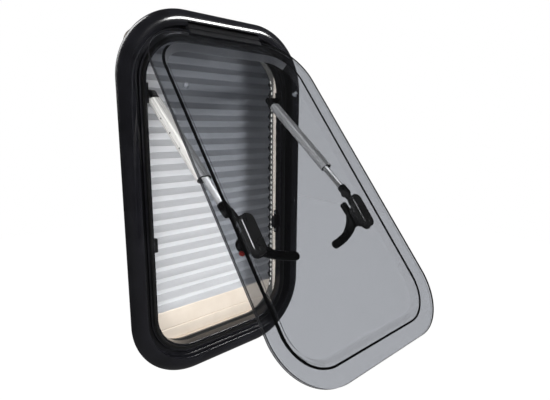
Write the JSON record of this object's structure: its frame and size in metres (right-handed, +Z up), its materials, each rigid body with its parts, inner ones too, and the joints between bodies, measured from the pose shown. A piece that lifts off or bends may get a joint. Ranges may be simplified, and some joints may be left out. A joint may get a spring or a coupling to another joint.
{
  "type": "caravan window",
  "caption": "Top-hung caravan window, held open by telescopic stays: rounded black frame, smoked double acrylic pane, lever latches and a pleated blind.",
  "frame": {"origin": "on the flat back of the flange, where it meets the outer face of the wall, in the middle of the bottom rail", "axes": "+Z up, +X to the right seen from outside, +Y into the vehicle"},
  "size_m": [0.34, 0.3811, 0.565],
  "materials": {
    "frame_black": "semi-gloss moulded black",
    "seal_rubber": "matt",
    "hinge_black": "satin extrusion",
    "smoked_acrylic": "clear smoke-grey acrylic",
    "plug_grey": "satin",
    "latch_black": "fine moulded grain",
    "button_red": "gloss",
    "stay_aluminium": "satin anodised",
    "ferrule_grey": "satin",
    "case_cream": "satin cream",
    "blind_silver": "silvered pleated cloth"
  },
  "bodies": {
    "window": {"outer_frame": "frame_black", "frame_seal": "seal_rubber", "hinge_rail": "hinge_black", "hinge_leaf": "hinge_black", "outer_pane": "smoked_acrylic", "inner_pane": "smoked_acrylic", "left_vent_plug": "plug_grey", "right_vent_plug": "plug_grey", "left_latch_base": "latch_black", "right_latch_base": "latch_black", "left_stay_bracket": "latch_black", "right_stay_bracket": "latch_black", "left_keeper": "latch_black", "right_keeper": "latch_black", "left_stay_fork": "latch_black", "right_stay_fork": "latch_black", "left_stay_tube": "stay_aluminium", "right_stay_tube": "stay_aluminium", "left_stay_rod": "stay_aluminium", "right_stay_rod": "stay_aluminium", "left_stay_ferrule": "ferrule_grey", "right_stay_ferrule": "ferrule_grey", "clamp_frame": "case_cream", "left_blind_guide": "case_cream", "right_blind_guide": "case_cream", "top_cassette": "case_cream", "bottom_cassette": "case_cream", "blind_bar": "case_cream", "screen_bar": "case_cream", "pleated_blind": "blind_silver"},
    "left_latch_lever": {"left_lever": "latch_black", "left_lever_button": "button_red"},
    "right_latch_lever": {"right_lever": "latch_black", "right_lever_button": "button_red"}
  },
  "joints": [
    {"name": "left_lever_turn", "type": "hinge", "parent": "window", "child": "left_latch_lever", "pos_m": [-0.1015, -0.19561, 0.25565], "axis": [0, -0.7799, 0.6259], "range_deg": [0, 90]},
    {"name": "right_lever_turn", "type": "hinge", "parent": "window", "child": "right_latch_lever", "pos_m": [0.1015, -0.19561, 0.25565], "axis": [0, 0.7799, -0.6259], "range_deg": [0, 90]}
  ]
}
